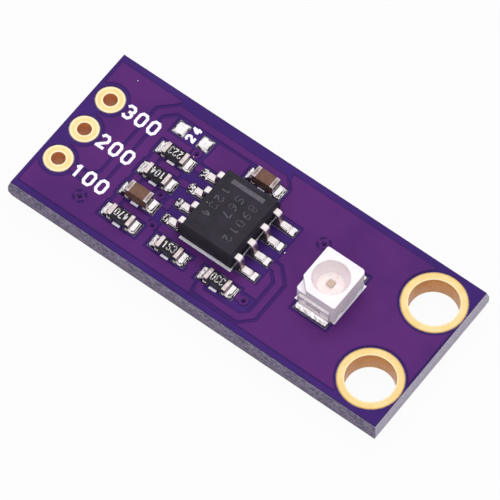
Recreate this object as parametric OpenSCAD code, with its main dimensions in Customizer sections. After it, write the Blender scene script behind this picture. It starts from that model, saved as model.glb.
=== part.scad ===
/* [Board] */
// Length of the board across its top face
board_l = 27; // [26.8:0.1:34]
// Width of the board across its top face
board_w = 11.1; // [11:0.1:14]
// Thickness of the finished board
board_t = 1.6; // [1.4:0.1:2.4]
// How far the scored edge stands out at mid thickness
score_out = 0.12; // [0.02:0.02:0.2]
// Depth of the scored groove on each face
score_d = 0.45; // [0.2:0.05:0.55]

/* [Foil and mask] */
// Thickness of each copper foil
foil_t = 0.035; // [0.018:0.001:0.07]
// Thickness of the solder mask over the copper
mask_t = 0.02; // [0.01:0.005:0.04]
// Bare rim that a mask opening leaves around a pad
mask_rim = 0.05; // [0.02:0.01:0.08]
// How far the raised mask reaches past the copper below it
mask_reach = 0.04; // [0.02:0.01:0.06]
// Gap between the ground pour and any other copper
pour_gap = 0.22; // [0.15:0.01:0.3]
// Bare strip between the pour and the board's long edges
pour_side = 0.47; // [0.3:0.01:0.6]
// Bare strip between the pour and the pin end of the board
pour_pin_end = 0.26; // [0.15:0.01:0.4]
// Bare strip between the pour and the mounting end of the board
pour_mount_end = 0.13; // [0.1:0.01:0.3]
// Width of the signal traces
trace_w = 0.45; // [0.3:0.01:0.5]
// Width of the small islands of copper beside the amplifier
island_w = 0.42; // [0.3:0.01:0.46]

/* [White print] */
// Thickness of the white print
print_t = 0.02; // [0.01:0.005:0.04]
// Height of the digits beside the pins
digit_h = 1.04; // [0.7:0.02:1.2]
// Stroke width of the digits beside the pins
digit_stroke = 0.19; // [0.1:0.01:0.22]
// Distance from the pin holes to the middle of their digits
digit_gap = 2.36; // [2.2:0.02:2.5]
// Height of the digits between the lands that carry no chip
small_digit_h = 0.66; // [0.4:0.02:0.7]
// Stroke width of those digits
small_digit_stroke = 0.16; // [0.08:0.01:0.18]
// Width of the white outline around the amplifier
amp_line = 0.24; // [0.1:0.01:0.3]
// Width of the white lines beside the sensor
sensor_line = 0.18; // [0.1:0.01:0.25]
// Length of the white bar beside each chip
bar_l = 0.52; // [0.3:0.02:0.6]
// Width of the white bar beside each chip
bar_w = 0.16; // [0.08:0.01:0.2]

/* [Pin holes] */
// Distance between the pin holes
pin_pitch = 2.54; // [2.3:0.01:2.8]
// Distance from the board's end to the row of pin holes
pin_inset = 1.27; // [1.1:0.01:1.5]
// Radius of each plated pin hole
pin_hole_r = 0.45; // [0.35:0.01:0.6]
// Outer radius of each gold pin pad
pin_pad_r = 0.92; // [0.8:0.01:1.05]
// Wall of the plating in the holes
plating_t = 0.018; // [0.01:0.002:0.05]
// Gap between a pin pad and the pour
pin_gap = 0.31; // [0.2:0.01:0.4]
// How far the bare strip at the pins reaches past the outer ones
pin_strip = 0.86; // [0.7:0.01:1]

/* [Mounting holes] */
// Distance between the two mounting holes
mount_pitch = 6.32; // [6:0.02:6.8]
// Distance from the board's end to the mounting holes
mount_inset = 2.09; // [2.06:0.01:2.3]
// Radius of each plated mounting hole
mount_hole_r = 1.55; // [1.2:0.01:1.7]
// Outer radius of each gold mounting ring
mount_pad_r = 2.02; // [1.9:0.01:2.04]
// Gap between a mounting ring and the pour
mount_gap = 0.18; // [0.12:0.01:0.25]
// How far the bare corner beside a mounting hole reaches towards the pins
mount_strip = 1.3; // [1.1:0.01:1.5]

/* [Vias] */
// Radius of each via hole
via_hole_r = 0.14; // [0.1:0.01:0.16]
// Outer radius of the copper ring around a via
via_ring_r = 0.31; // [0.24:0.01:0.36]
// Gap around a via that four spokes tie to the pour
relief_gap = 0.16; // [0.1:0.01:0.2]
// Width of each of those spokes
relief_spoke = 0.2; // [0.15:0.01:0.25]

/* [Chip parts] */
// Length of a resistor or capacitor
chip_l = 1.6; // [1.4:0.02:1.7]
// Width of a resistor or capacitor
chip_w = 0.8; // [0.6:0.02:0.88]
// Height of a resistor
resistor_h = 0.5; // [0.35:0.01:0.6]
// Height of a capacitor
capacitor_h = 0.82; // [0.5:0.01:0.95]
// Thickness of the metal on a chip's ends
end_t = 0.04; // [0.02:0.005:0.06]
// Length that the end metal covers on a chip's top and bottom
end_wrap = 0.27; // [0.15:0.01:0.35]
// Bare edge of the ceramic beside a resistor's glaze
glaze_side = 0.02; // [0.01:0.01:0.06]
// Length of each land under a chip's end
land_l = 0.82; // [0.7:0.01:0.9]
// Width of each land under a chip's end
land_w = 0.9; // [0.88:0.01:1.0]
// Distance over both lands of a chip
land_span = 2.6; // [2.5:0.02:2.7]
// Thickness of the solder between a land and a terminal
solder_t = 0.04; // [0.02:0.005:0.08]
// Thickness of the solder where it thins out at a land's edge
solder_rim = 0.05; // [0.02:0.005:0.08]
// Bare edge of a land outside its solder
land_edge = 0.03; // [0.01:0.01:0.06]
// How far up a chip's end the solder climbs, as a share of its height
solder_climb = 0.78; // [0.4:0.02:0.9]
// Height of the solder on the lands that carry no chip
dome_h = 0.2; // [0.1:0.01:0.3]
// Distance from the pin holes to the column of chips
column_gap = 5.53; // [5.4:0.01:5.8]
// Distance between the chips in the column
column_pitch = 1.77; // [1.7:0.01:1.8]
// Distance from the column of chips to the amplifier's middle
amp_gap = 5.39; // [5.3:0.01:5.7]
// Distance from the amplifier's middle to each chip in the lower row
lower_step = 1.79; // [1.75:0.01:1.85]

/* [Amplifier] */
// Width of the amplifier's body between its rows of leads
amp_x_l = 3.9; // [3.7:0.05:4]
// Length of the amplifier's body along its rows of leads
amp_y_l = 4.9; // [4.8:0.05:5]
// Thickness of the amplifier's body
amp_h = 1.5; // [1.3:0.05:1.7]
// Gap between the board and the amplifier's body
amp_lift = 0.1; // [0.05:0.01:0.2]
// Share of the body's height that lies below its parting line
parting_share = 0.62; // [0.5:0.01:0.66]
// How far the body's top steps in from its parting line
amp_draft = 0.16; // [0.05:0.01:0.2]
// How far the body's bottom steps in from its parting line
amp_under = 0.09; // [0.03:0.01:0.12]
// Distance between the leads
lead_pitch = 1.27; // [1.2:0.01:1.3]
// Width of each lead
lead_w = 0.41; // [0.3:0.01:0.5]
// Thickness of each lead
lead_t = 0.2; // [0.12:0.01:0.25]
// Length of each lead's foot
lead_foot = 0.62; // [0.5:0.01:0.7]
// How far a lead runs straight out of the body before it bends down
lead_out = 0.28; // [0.2:0.01:0.35]
// Radius of a lead's bends at mid thickness
lead_bend = 0.16; // [0.13:0.01:0.2]
// Length of each lead inside the body
finger_l = 0.65; // [0.4:0.01:0.8]
// Gap between the leads' inner tips and the paddle
paddle_gap = 0.25; // [0.15:0.01:0.4]
// Length of the paddle along the rows of leads
paddle_l = 3.9; // [3.5:0.05:4.3]
// Width of the chip inside the amplifier
amp_die_w = 1.5; // [1.2:0.05:1.8]
// Length of the chip inside the amplifier
amp_die_l = 3.3; // [3.2:0.05:3.4]
// Thickness of the chip inside the amplifier
amp_die_h = 0.2; // [0.1:0.01:0.22]
// Thickness of the bond wires
wire_t = 0.03; // [0.02:0.005:0.04]
// Height of a bond wire's arch over the higher of its ends
wire_rise = 0.1; // [0.07:0.01:0.12]
// Distance between the bond wires along the chip inside the amplifier
bond_pitch = 0.9; // [0.7:0.02:1]
// Distance over the lands of the amplifier
amp_land_span = 6.94; // [6.8:0.02:7]
// How far each of those lands reaches past the tip of its lead's foot
land_toe = 0.47; // [0.3:0.01:0.6]
// Length of each land of the amplifier
amp_land_l = 1.55; // [1.4:0.01:1.6]
// Width of each land of the amplifier
amp_land_w = 0.6; // [0.5:0.01:0.65]
// How far the solder stands out from the sides of a lead
lead_fillet = 0.05; // [0.02:0.01:0.08]

/* [Sensor] */
// Distance from the board's end to the sensor's middle
sensor_inset = 7.36; // [7.2:0.01:7.5]
// Size of the sensor's housing along the board
sensor_x_l = 2.8; // [2.7:0.02:2.9]
// Size of the sensor's housing across the board
sensor_y_l = 3.2; // [3.1:0.02:3.3]
// Height of the sensor
sensor_h = 1.8; // [1.6:0.02:1.9]
// Gap between the board's solder level and the housing's underside
housing_lift = 0.02; // [0.01:0.01:0.05]
// Radius of the housing's corners
corner_r = 0.12; // [0.05:0.01:0.15]
// Radius of the housing's one blunter corner
blunt_r = 0.3; // [0.2:0.01:0.4]
// Radius of the corner below the cut that marks the sensor's direction
notch_r = 0.22; // [0.15:0.01:0.3]
// Length of each leg of that cut
notch_l = 0.76; // [0.5:0.02:0.9]
// Depth of that cut below the sensor's top
notch_d = 0.52; // [0.3:0.02:0.6]
// Length of the slots along the feet of the housing's long walls
slot_l = 0.6; // [0.4:0.02:0.7]
// Height of those slots
slot_h = 0.42; // [0.3:0.02:0.5]
// Depth of those slots
slot_d = 0.12; // [0.06:0.01:0.14]
// Distance from the sensor's middle to the middle of each slot
slot_y = 0.98; // [0.8:0.01:1.1]
// Radius of the sensor's window at the top
window_r = 1.18; // [1:0.01:1.25]
// Radius of the sensor's window at its floor
floor_r = 0.82; // [0.7:0.01:0.9]
// Depth of the sensor's window
window_d = 0.8; // [0.6:0.02:0.9]
// Side of the square light-sensing chip
die_s = 0.43; // [0.3:0.01:0.5]
// Thickness of the light-sensing chip
die_h = 0.16; // [0.08:0.01:0.2]
// Thickness of the sensor's metal terminals
tab_t = 0.14; // [0.1:0.01:0.16]
// Width of the sensor's metal terminals
tab_w = 2.15; // [1.9:0.01:2.2]
// How far the terminals reach in under the housing
tab_foot = 0.55; // [0.45:0.01:0.6]
// Width of the terminals' inner pads in the window's floor
tab_pad_w = 1.5; // [1.2:0.02:1.6]
// Distance from the window's middle to the gap between the inner pads
split_y = 0.38; // [0.35:0.01:0.45]
// Gap between the inner pads
split_gap = 0.12; // [0.08:0.01:0.2]
// Width of the opening in each terminal's outer face
tab_hole_w = 1; // [0.6:0.02:1.2]
// Height of the opening in each terminal's outer face
tab_hole_h = 0.28; // [0.2:0.01:0.32]
// Height of that opening above the terminal's underside
tab_hole_up = 0.45; // [0.4:0.01:0.5]
// Width of each sensor land
sensor_land_w = 2.35; // [2.2:0.01:2.5]
// Distance over both sensor lands
sensor_land_span = 4.24; // [4.1:0.02:4.4]
// Length of each sensor land
sensor_land_l = 1.1; // [0.9:0.01:1.2]
// Height that the solder climbs up a terminal's face
tab_climb = 0.3; // [0.2:0.01:0.36]

/* [Hidden] */
$fn = 64;

// Levels of the board's layers, from its underside
core_low = mask_t + foil_t;
core_high = board_t - mask_t - foil_t;
foil_high = core_high + foil_t;
seat_z = foil_high + solder_t;

// Places along the board
pin_x = -board_l / 2 + pin_inset;
mount_x = board_l / 2 - mount_inset;
column_x = pin_x + column_gap;
amp_x = column_x + amp_gap;
lower_y = -2 * column_pitch;
upper_y = 2 * column_pitch;
sensor_x = board_l / 2 - sensor_inset;

// Middle of each resistor, of each capacitor and of the lands that carry no chip
resistor_at = [
    [column_x, column_pitch], [column_x, 0], [column_x, lower_y],
    [amp_x - lower_step, lower_y], [amp_x + lower_step, lower_y]
];
capacitor_at = [[column_x, -column_pitch], [amp_x, upper_y]];
spare_at = [column_x, upper_y];
chip_at = concat(resistor_at, capacitor_at, [spare_at]);

// Reach of the lands from the middle of a chip, of the amplifier and of the sensor
land_in = land_span / 2 - land_l / 2;
amp_land_in = (amp_land_span - amp_land_l) / 2;
sensor_land_in = (sensor_land_span - sensor_land_l) / 2;
lead_rows = [-1.5 : 1.5];
lower_land_x = amp_x + lower_step + land_in;

// Middle of each via: two tied to the pour, and the ends of the links underneath
loop_via = [lower_land_x + 1.02, lower_y];
signal_via = [column_x + 0.87, upper_y - 0.84];
cross_via = [column_x + 0.83, -column_pitch + 0.94];
island_via = [column_x + 1.72, lower_y + 0.77];
relief_vias = [[column_x - 2.92, lower_y - 0.27], [sensor_x - 2.24, upper_y - 1.16]];
via_at = concat(relief_vias, [signal_via, cross_via, island_via, loop_via]);

// Supply trace: from its pin around the column of chips to the upper capacitor
supply_x = column_x - 2.655;
supply_y = board_w / 2 - 1.04;
supply_bend = 0.65;
supply_corner = 0.85;
supply_end = [amp_x + 1, upper_y];
supply_route = [
    [pin_x, -pin_pitch], [supply_x - supply_bend, -pin_pitch], [supply_x, supply_bend - pin_pitch],
    [supply_x, supply_y - supply_corner], [supply_x + supply_corner, supply_y],
    [supply_end[0] - 0.44, supply_y], [supply_end[0], supply_y - 0.45], supply_end
];

// Loop trace: from the amplifier's right side around the lower row of chips
loop_x = amp_x + amp_land_span / 2 + 1.23;
loop_y = 0.93 - board_w / 2;
loop_bend = 0.75;
loop_corner = 0.6;
loop_start = [amp_x + amp_land_in, -lead_pitch / 2];
loop_end = [amp_x + lower_step - land_in, lower_y];
loop_route = [
    loop_start, [loop_x - loop_bend, loop_start[1]], [loop_x, loop_start[1] - loop_bend],
    [loop_x, loop_y + loop_corner], [loop_x - loop_corner, loop_y],
    [loop_end[0] + 0.24, loop_y], loop_end
];

// Short links between lands
bus_x = column_x - 0.97;
bus_route = [[bus_x, lower_y], [bus_x, column_pitch]];
amp_left = amp_x - amp_land_in;
upper_link_y = column_pitch + 0.2;
inner_link_y = lead_pitch / 2;
links = [
    bus_route,
    [[column_x + land_in, upper_link_y], [amp_left, upper_link_y]],
    [[column_x + land_in, 0.1], [column_x + land_in + 0.5, inner_link_y], [amp_left, inner_link_y]],
    [[signal_via[0], upper_y], [signal_via[0], column_pitch]],
    [cross_via, [cross_via[0], -column_pitch]],
    [[amp_x - lower_step + land_in, lower_y], [amp_x + lower_step - land_in, lower_y]],
    [[lower_land_x, lower_y], loop_via]
];

// Traces underneath
signal_route = [[pin_x, pin_pitch], [signal_via[0] - 0.2, pin_pitch], signal_via];
cross_route = [cross_via, [amp_x - 2.2, cross_via[1]], [amp_x + 0.5, lower_y], loop_via];

// Islands of copper between the column of chips and the amplifier: ends of each one's middle line
islands_at = [
    [[column_x - 0.4, 0.93], [column_x + 0.92, 0.93]],
    [[column_x - 0.4, -0.86], [column_x + 0.25, -0.86]],
    [[column_x + 1.62, -0.62], [column_x + 1.62, -1.42]],
    [[column_x + 2.15, lower_y + 0.98], [column_x + 3, lower_y + 0.98]]
];

// Bare patches between the parts, from the low to the high corner of each
amp_side = amp_x_l / 2;
row_end = amp_land_span / 2 + 0.2;
bare_patches = [
    [[column_x + 0.3, -2.2], [amp_x - amp_side, 2.42]],
    [[column_x + 0.45, column_pitch - pour_gap], [column_x + 1.45, upper_y + pour_gap]],
    [[column_x + 1.35, lower_y + 0.49], [column_x + 2.15, -2.1]],
    [[amp_x + amp_side, -2.3], [amp_x + row_end, 2.5]],
    [[amp_x + 1.2, lower_y - 0.81], [loop_via[0] + 0.58, lower_y + 0.49]]
];

// Places of the white print
small_digits_at = spare_at + [-0.06, 0.08];
amp_outline = [amp_x_l - 0.08, amp_y_l + 0.12];
sensor_line_x = sensor_x_l / 2 - 0.03;

// Levels and places of the amplifier's parts
foot_out = amp_land_span / 2 - land_toe;
foot_z = seat_z + lead_t / 2;
parting_z = foot_z + (amp_lift + amp_h) * parting_share;
amp_low = seat_z + amp_lift;
amp_high = amp_low + amp_h;
finger_in = amp_x_l / 2 - finger_l;
paddle_high = parting_z + lead_t / 2;

// Levels and places of the sensor's parts
sensor_high = seat_z + sensor_h;
floor_z = sensor_high - window_d;
tab_out = sensor_y_l / 2 + tab_t;
tab_in = sensor_y_l / 2 - tab_foot;

// How far a cut runs past the face that it opens
past = 0.01;

// Direction helpers for paths
function unit(v) = v / norm(v);
function left_of(v) = [-v[1], v[0]];
function heading(p, i) = unit(p[min(i, len(p) - 2) + 1] - p[min(i, len(p) - 2)]);

// A point beside corner i of a path, d to its left, with a mitred corner
function beside(p, i, d) =
    let (a = left_of(heading(p, max(i - 1, 0))), m = unit(a + left_of(heading(p, i))))
    p[i] + m * d / (m * a);

// Points of an arc that rounds one corner between its neighbours
function round_corner(before, at, after, r, steps) =
    let (
        a = unit(before - at), b = unit(after - at), half = acos(a * b) / 2,
        middle = at + unit(a + b) * r / sin(half),
        from = at + a * r / tan(half) - middle, to = at + b * r / tan(half) - middle,
        start = atan2(from[1], from[0]), turn = (atan2(to[1], to[0]) - start + 540) % 360 - 180
    )
    [for (k = [0 : steps]) middle + r * [cos(start + turn * k / steps), sin(start + turn * k / steps)]];

// An open path with its inner corners rounded
function rounded(p, r, steps = 4) = [
    p[0], for (i = [1 : len(p) - 2]) each round_corner(p[i - 1], p[i], p[i + 1], r, steps), p[len(p) - 1]
];

// A closed outline with its own radius at each corner
function rounded_loop(p, radii, steps = 5) = [
    for (i = [0 : len(p) - 1]) each
        round_corner(p[(i + len(p) - 1) % len(p)], p[i], p[(i + 1) % len(p)], radii[i], steps)
];

// Strip of constant width along a path
module ribbon(path, w) {
    last = len(path) - 1;
    polygon(concat(
        [for (i = [0 : last]) beside(path, i, w / 2)],
        [for (i = [last : -1 : 0]) beside(path, i, -w / 2)]
    ));
}

// Rectangle given by two opposite corners, shrunk by g on every side
module panel(low, high, g = 0) {
    translate(low + [g, g]) square(high - low - 2 * [g, g]);
}

// Flat shape raised between two levels
module slab(low, high) {
    translate([0, 0, low]) linear_extrude(high - low) children();
}

// Flat shape raised right through the board
module through_board() {
    slab(-board_t, 2 * board_t) children();
}

// Side view profile, drawn in x and z, with a given width along y
module across(w) {
    rotate([90, 0, 0]) linear_extrude(w, center = true) children();
}

// Children drawn once on each side of the middle, the second time mirrored along x
module both_ways() {
    children();
    mirror([1, 0, 0]) children();
}

// Strokes of a plain digit in a box one unit wide and one unit high
function digit_strokes(d) =
    d == 0 ? [
        [[0.5, 0], [0.25, 0], [0, 0.2], [0, 0.8], [0.25, 1], [0.5, 1]],
        [[0.5, 1], [0.75, 1], [1, 0.8], [1, 0.2], [0.75, 0], [0.5, 0]]
    ] :
    d == 1 ? [[[0.15, 0.75], [0.55, 1]], [[0.55, 1.05], [0.55, 0]]] :
    d == 2 ? [[[0, 0.78], [0.25, 1], [0.75, 1], [1, 0.8], [1, 0.58], [0.1, 0.06]], [[-0.1, 0], [1.1, 0]]] :
    d == 3 ? [
        [[0, 0.82], [0.25, 1], [0.75, 1], [1, 0.82], [1, 0.65], [0.7, 0.5]],
        [[0.4, 0.52], [0.75, 0.52], [1, 0.35], [1, 0.18], [0.75, 0], [0.25, 0], [0, 0.18]]
    ] :
    [[[0.72, 1.08], [0.72, -0.08]], [[0.7, 0.98], [0.02, 0.34]], [[-0.08, 0.3], [1.1, 0.3]]];

// A row of digits from 0 to 4 around its middle, h high over its strokes
module digit_row(digits, h, stroke) {
    high = h - stroke;
    wide = 0.5 * h;
    step = wide + 2.1 * stroke;
    for (k = [0 : len(digits) - 1])
        translate([(k - (len(digits) - 1) / 2) * step - wide / 2, -high / 2])
            for (line = digit_strokes(digits[k])) ribbon([for (p = line) [p[0] * wide, p[1] * high]], stroke);
}

// Lands of the chips, the amplifier and the sensor, each grown by g
module land(at, size, g) {
    translate(at) square([size[0] + 2 * g, size[1] + 2 * g], center = true);
}

module chip_lands(g) {
    for (at = chip_at, side = [-1, 1]) land([at[0] + side * land_in, at[1]], [land_l, land_w], g);
}

module amp_lands(g) {
    for (side = [-1, 1], row = lead_rows)
        land([amp_x + side * amp_land_in, row * lead_pitch], [amp_land_l, amp_land_w], g);
}

module sensor_lands(g) {
    for (side = [-1, 1]) land([sensor_x, side * sensor_land_in], [sensor_land_w, sensor_land_l], g);
}

module all_lands(g) {
    chip_lands(g);
    amp_lands(g);
    sensor_lands(g);
}

// Places of the pin holes, the mounting holes and the vias
module at_pins() {
    for (row = [-1 : 1]) translate([pin_x, row * pin_pitch]) children();
}

module at_mounts() {
    for (side = [-1, 1]) translate([mount_x, side * mount_pitch / 2]) children();
}

module at_vias() {
    for (at = via_at) translate(at) children();
}

module board_outline() {
    square([board_l, board_w], center = true);
}

// Ground pour before anything is cut from it, grown by g
module pour_sheet(g) {
    panel(
        [-board_l / 2 + pour_pin_end, -board_w / 2 + pour_side],
        [board_l / 2 - pour_mount_end, board_w / 2 - pour_side], -g
    );
}

// Bare areas of the top, which shrink by g where the mask is raised
module bare_areas(g) {
    pin_reach = pin_pitch + pin_strip;
    panel([-board_l / 2, -pin_reach], [pin_x, pin_reach], g);
    for (side = [-1, 1]) mirror([0, side < 0 ? 1 : 0])
        panel([mount_x - mount_strip, mount_pitch / 2], [board_l, board_w], g);
    panel([supply_x + supply_bend, supply_y], [supply_end[0], board_w], g);
    for (at = chip_at) land(at, [land_span, land_w], pour_gap - g);
    for (patch = bare_patches) panel(patch[0], patch[1], g);
    sensor_lands(pour_gap - g);
}

// Strips of copper along the islands' middle lines, grown by g
module islands(g) {
    for (line = islands_at) {
        ahead = unit(line[1] - line[0]) * g;
        ribbon([line[0] - ahead, line[1] + ahead], island_w + 2 * g);
    }
}

// Cut around a via in the pour, with its four spokes left
module relief(g) {
    difference() {
        circle(via_ring_r + relief_gap - g);
        circle(via_ring_r + g);
        for (turn = [0, 90])
            rotate(turn) square([4 * via_ring_r, relief_spoke + 2 * g], center = true);
    }
}

// Foil on top, grown by g for the raised mask over it
module top_foil_shape(g) {
    difference() {
        union() {
            difference() {
                pour_sheet(g);
                bare_areas(g);
                at_pins() circle(pin_pad_r + pin_gap - g);
                at_mounts() circle(mount_pad_r + mount_gap - g);
                for (route = [supply_route, loop_route, bus_route])
                    ribbon(route, trace_w + 2 * pour_gap - 2 * g);
                for (at = relief_vias) translate(at) relief(g);
            }
            for (route = concat([supply_route, loop_route], links)) ribbon(route, trace_w + 2 * g);
            islands(g);
            all_lands(g);
        }
        at_pins() circle(pin_pad_r);
    }
}

// Foil underneath, grown by g
module bottom_foil_shape(g) {
    difference() {
        union() {
            difference() {
                pour_sheet(g);
                for (row = [-1, 1]) translate([pin_x, row * pin_pitch]) circle(pin_pad_r + pin_gap - g);
                translate([pin_x, 0]) difference() {
                    circle(pin_pad_r + pin_gap - g);
                    for (turn = [0, 90])
                        rotate(turn) square([4 * pin_pad_r, trace_w + 2 * g], center = true);
                }
                at_mounts() circle(mount_pad_r + mount_gap - g);
                for (route = [signal_route, cross_route]) ribbon(route, trace_w + 2 * pour_gap - 2 * g);
                for (at = [signal_via, cross_via, loop_via])
                    translate(at) circle(via_ring_r + pour_gap - g);
            }
            for (route = [signal_route, cross_route]) ribbon(route, trace_w + 2 * g);
        }
        at_pins() circle(pin_pad_r);
    }
}

// Openings that the mask leaves over everything that is gold or a hole
module plated_openings() {
    at_pins() circle(pin_pad_r + mask_rim);
    at_mounts() circle(mount_pad_r + mask_rim);
    at_vias() circle(via_hole_r);
}

// Openings of the mask on top, where the lands are bare too
module top_openings() {
    all_lands(mask_rim);
    plated_openings();
}

// Laminate with scored and snapped edges
module scored_profile(length) {
    half = length / 2;
    out = half + score_out;
    polygon([
        [-half, core_low], [half, core_low], [out, core_low + score_d], [out, core_high - score_d],
        [half, core_high], [-half, core_high], [-out, core_high - score_d], [-out, core_low + score_d]
    ]);
}

module board_core() {
    reach = 2 * board_l;
    color("#6f6680") difference() {
        intersection() {
            across(reach) scored_profile(board_l);
            rotate([0, 0, 90]) across(reach) scored_profile(board_w);
        }
        through_board() {
            at_pins() circle(pin_hole_r + plating_t);
            at_mounts() circle(mount_hole_r + plating_t);
            at_vias() circle(via_hole_r + plating_t);
        }
    }
}

module top_copper() {
    color("#c98a4b") slab(core_high, foil_high) difference() {
        top_foil_shape(0);
        at_vias() circle(via_ring_r);
    }
}

module bottom_copper() {
    color("#c98a4b") slab(mask_t, core_low) difference() {
        bottom_foil_shape(0);
        at_vias() circle(via_ring_r);
    }
}

// Where the mask on top is raised over copper
module raised_on_top() {
    top_foil_shape(mask_reach);
    at_vias() circle(via_ring_r + mask_reach);
}

module top_mask() {
    color("#56297a") {
        slab(core_high, foil_high) difference() {
            board_outline();
            top_foil_shape(0);
            top_openings();
            at_vias() circle(via_ring_r);
        }
        slab(foil_high, board_t) difference() {
            raised_on_top();
            top_openings();
        }
    }
}

module bottom_mask() {
    color("#56297a") {
        slab(mask_t, core_low) difference() {
            board_outline();
            bottom_foil_shape(0);
            plated_openings();
            at_vias() circle(via_ring_r);
        }
        slab(0, mask_t) difference() {
            union() {
                bottom_foil_shape(mask_reach);
                at_vias() circle(via_ring_r + mask_reach);
            }
            plated_openings();
        }
    }
}

// White print: plain digits, part outlines and the bars beside the chips
module print_shape() {
    for (row = [-1 : 1]) translate([pin_x + digit_gap, row * pin_pitch])
        digit_row([row + 2, 0, 0], digit_h, digit_stroke);
    translate(small_digits_at) rotate(90) digit_row([2, 4], small_digit_h, small_digit_stroke);
    translate([amp_x, 0]) difference() {
        square(amp_outline, center = true);
        square(amp_outline - 2 * [amp_line, amp_line], center = true);
    }
    for (side = [-1, 1]) {
        translate([sensor_x + side * sensor_line_x, 0]) square([sensor_line, sensor_y_l], center = true);
        for (at = concat(resistor_at, capacitor_at))
            translate([at[0], at[1] + side * (chip_w / 2 + 0.75 * bar_w)])
                square([bar_l, bar_w], center = true);
    }
}

module white_print() {
    color("#f4f2f6") {
        slab(board_t, board_t + print_t) difference() {
            print_shape();
            top_openings();
        }
        slab(foil_high, board_t) difference() {
            print_shape();
            raised_on_top();
            top_openings();
        }
    }
}

// Plated hole with its pad on both faces
module eyelet(hole_r, pad_r) {
    difference() {
        union() {
            slab(mask_t, foil_high) circle(hole_r + plating_t);
            slab(mask_t, core_low) circle(pad_r);
            slab(core_high, foil_high) circle(pad_r);
        }
        through_board() circle(hole_r);
    }
}

module pin_eyelet(k) {
    color("#ffd98a") translate([pin_x, (k - 2) * pin_pitch]) eyelet(pin_hole_r, pin_pad_r);
}

module mount_eyelet(k) {
    color("#ffd98a") translate([mount_x, (k - 1.5) * mount_pitch]) eyelet(mount_hole_r, mount_pad_r);
}

module via_barrels() {
    color("#7a4a8c") for (at = via_at) translate(at) eyelet(via_hole_r, via_ring_r);
}

// Metal caps on a chip's two ends, open on its long sides
module end_caps(at, h) {
    translate([at[0], at[1], seat_z]) both_ways() across(chip_w) difference() {
        panel([chip_l / 2 - end_wrap, 0], [chip_l / 2, h]);
        panel([0, end_t], [chip_l / 2 - end_t, h - end_t]);
    }
}

// Block that fills the space between a chip's caps, with its own top level
module ceramic_block(at, h, top) {
    mid = chip_l - 2 * end_wrap;
    translate([at[0], at[1], seat_z]) across(chip_w) {
        translate([-chip_l / 2 + end_t, end_t]) square([chip_l - 2 * end_t, h - 2 * end_t]);
        translate([-mid / 2, 0]) square([mid, top]);
    }
}

// Hollow fillets from both lands up a chip's ends, with the film under the caps
module chip_solder(at, h) {
    end = chip_l / 2;
    run = land_span / 2 - end - land_edge;
    rise = h * solder_climb;
    steps = 6;
    fillet = [for (k = [1 : steps])
        [end + run * (1 - cos(90 * k / steps)), solder_rim + rise * (1 - sin(90 * k / steps))]
    ];
    color("#e4e2e8") translate([at[0], at[1], foil_high]) both_ways() across(chip_w) polygon(concat(
        [[end - end_wrap, 0], [end - end_wrap, solder_t], [end, solder_t], [end, solder_t + rise]],
        fillet, [[end + run, 0]]
    ));
}

module resistor_ceramic(at) {
    color("#55505c") ceramic_block(at, resistor_h, resistor_h - end_t);
}

module resistor_glaze(at) {
    color("#1f1b22") translate([at[0], at[1], seat_z]) slab(resistor_h - end_t, resistor_h)
        square([chip_l - 2 * end_wrap, chip_w - 2 * glaze_side], center = true);
}

module resistor_ends(at) {
    color("#e9e4ea") end_caps(at, resistor_h);
}

module capacitor_ceramic(at) {
    color("#7a5545") ceramic_block(at, capacitor_h, capacitor_h);
}

module capacitor_ends(at) {
    color("#e6dcdc") end_caps(at, capacitor_h);
}

// Two low domes on the lands that carry no chip
module spare_land_solder() {
    dome_r = (land_w * land_w / 4 + dome_h * dome_h) / (2 * dome_h);
    color("#e4e2e8") translate([spare_at[0], spare_at[1], foil_high]) both_ways()
        translate([land_in, 0, 0]) intersection() {
            translate([0, 0, dome_h - dome_r]) sphere(dome_r);
            slab(0, 2 * dome_h) square([land_l, land_w], center = true);
        }
}

// Half of the amplifier's body, which tapers from the parting line up to h
module tapered_half(inset, h) {
    x = amp_x_l / 2;
    y = amp_y_l / 2;
    intersection() {
        across(2 * amp_y_l) polygon([[-x, 0], [x, 0], [x - inset, h], [inset - x, h]]);
        rotate([0, 0, 90]) across(2 * amp_x_l) polygon([[-y, 0], [y, 0], [y - inset, h], [inset - y, h]]);
    }
}

module amp_body() {
    color("#2b2930") difference() {
        translate([amp_x, 0, parting_z]) {
            tapered_half(amp_draft, amp_high - parting_z);
            mirror([0, 0, 1]) tapered_half(amp_under, parting_z - amp_low);
        }
        amp_leads();
        amp_paddle();
        amp_die();
        amp_bond_wires();
    }
}

// Children drawn at each of the amplifier's eight leads, pointing outward along x
module at_leads() {
    for (row = lead_rows) translate([amp_x, row * lead_pitch, 0]) both_ways() children();
}

// Gull-wing lead: foot, slope, shoulder and the finger inside the body
module amp_leads() {
    route = rounded([
        [finger_in, parting_z], [amp_x_l / 2 + lead_out, parting_z], [foot_out - lead_foot, foot_z],
        [foot_out, foot_z]
    ], lead_bend);
    color("#eceaee") at_leads() across(lead_w) ribbon(route, lead_t);
}

// Paddle, chip and bond wires inside the amplifier
module amp_paddle() {
    color("#c9a27a") translate([amp_x, 0, 0]) slab(paddle_high - lead_t, paddle_high)
        square([2 * (finger_in - paddle_gap), paddle_l], center = true);
}

module amp_die() {
    color("#5a6570") translate([amp_x, 0, 0]) slab(paddle_high, paddle_high + amp_die_h)
        square([amp_die_w, amp_die_l], center = true);
}

// Thin wire from one point to another in x and z, over a low arch
module bond_wire(from, to, rise) {
    peak = max(from[1], to[1]) + rise;
    bend = 2 * wire_t;
    across(wire_t) ribbon([
        from, [from[0], peak - bend], [0.8 * from[0] + 0.2 * to[0], peak],
        [0.25 * from[0] + 0.75 * to[0], peak - bend / 2], [to[0], to[1] + bend], to
    ], wire_t);
}

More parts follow.
